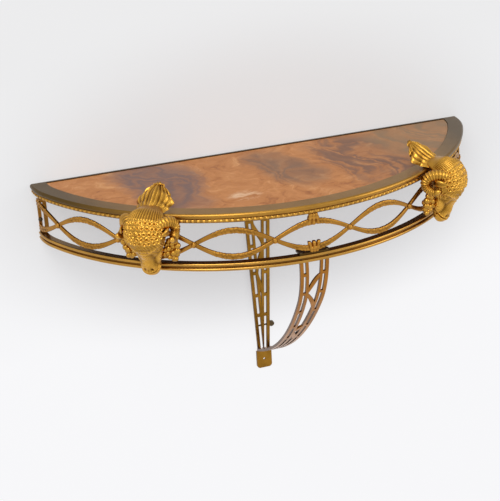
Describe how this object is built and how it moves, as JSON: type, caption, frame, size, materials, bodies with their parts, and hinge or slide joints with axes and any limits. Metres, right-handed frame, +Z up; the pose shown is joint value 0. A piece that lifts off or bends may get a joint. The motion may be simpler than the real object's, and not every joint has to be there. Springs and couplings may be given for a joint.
{
  "type": "wall console table",
  "caption": "Bow-fronted wall console: marble slab in a brass rim over an interlaced frieze with ram's heads, held by a lattice strut and a curved brace",
  "frame": {"origin": "On the wall plane, midway between the two upper wall-screw holes of the back rail", "axes": "X along the wall to the right as seen from the front, -Y out of the wall to the front, Z up"},
  "size_m": [0.76, 0.2839, 0.4513],
  "materials": {
    "marble": "polished",
    "rim_brass": "satin",
    "band_brass": "satin",
    "frieze_brass": "cast, patinated",
    "rail_brass": "polished",
    "ram_brass": "cast, matte gold",
    "strut_brass": "satin, olive",
    "brace_brass": "polished, coppery",
    "fastener_steel": "darkened"
  },
  "bodies": {
    "root": {"marble_top": "marble", "rim_moulding": "rim_brass", "back_rail": "rim_brass", "bead_band": "band_brass", "frieze_left_panel": "frieze_brass", "frieze_centre_panel": "frieze_brass", "frieze_right_panel": "frieze_brass", "crossing_rosettes": "frieze_brass", "upper_collar": "frieze_brass", "lower_collar": "frieze_brass", "lower_rail": "rail_brass", "end_plate_left": "frieze_brass", "end_plate_right": "frieze_brass", "end_plate_pins": "fastener_steel", "ram_strap_left": "frieze_brass", "ram_strap_right": "frieze_brass", "ram_head_left": "ram_brass", "ram_head_right": "ram_brass", "ram_horns_left": "ram_brass", "ram_horns_right": "ram_brass", "ram_crest_left": "ram_brass", "ram_crest_right": "ram_brass", "ram_grapes_left": "ram_brass", "ram_grapes_right": "ram_brass", "ram_studs": "fastener_steel", "ram_nuts": "fastener_steel", "strut_left_stile": "strut_brass", "strut_right_stile": "strut_brass", "strut_lattice": "strut_brass", "strut_splice_plate": "strut_brass", "strut_splice_screws": "fastener_steel", "strut_pin": "fastener_steel", "foot_tab": "strut_brass", "brace_left_stile": "brace_brass", "brace_right_stile": "brace_brass", "brace_lattice": "brace_brass", "brace_tie_plate": "brace_brass", "brace_tie_screws": "fastener_steel"}
  },
  "joints": []
}
